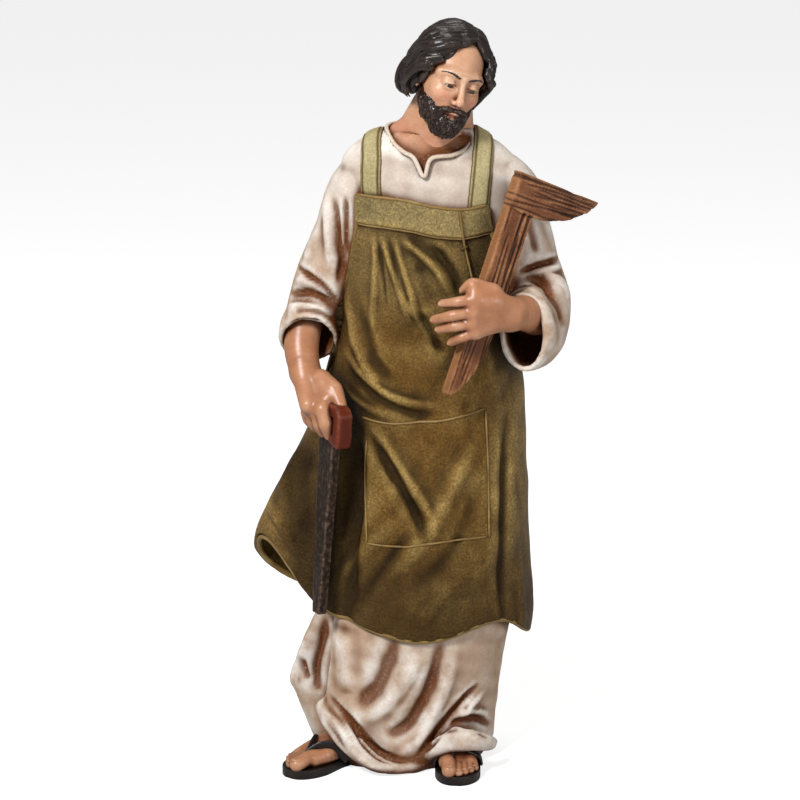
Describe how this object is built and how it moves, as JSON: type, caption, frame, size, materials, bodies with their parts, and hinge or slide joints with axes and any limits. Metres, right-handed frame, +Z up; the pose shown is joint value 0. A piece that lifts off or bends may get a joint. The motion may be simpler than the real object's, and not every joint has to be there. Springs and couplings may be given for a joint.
{
  "type": "saint joseph statue",
  "caption": "Standing figure of a bearded carpenter saint in a robe and work apron, holding a handsaw and a carpenter's square.",
  "frame": {"origin": "on the flat underside, below the middle of the stance", "axes": "+Z up, and the figure faces -Y"},
  "size_m": [0.1171, 0.0665, 0.26],
  "materials": {
    "figure": "hand painted cast resin",
    "saw": "hand painted cast resin",
    "carpenters_square": "hand painted cast resin"
  },
  "bodies": {
    "root": {"figure": "figure", "saw": "saw", "carpenters_square": "carpenters_square"}
  },
  "joints": []
}
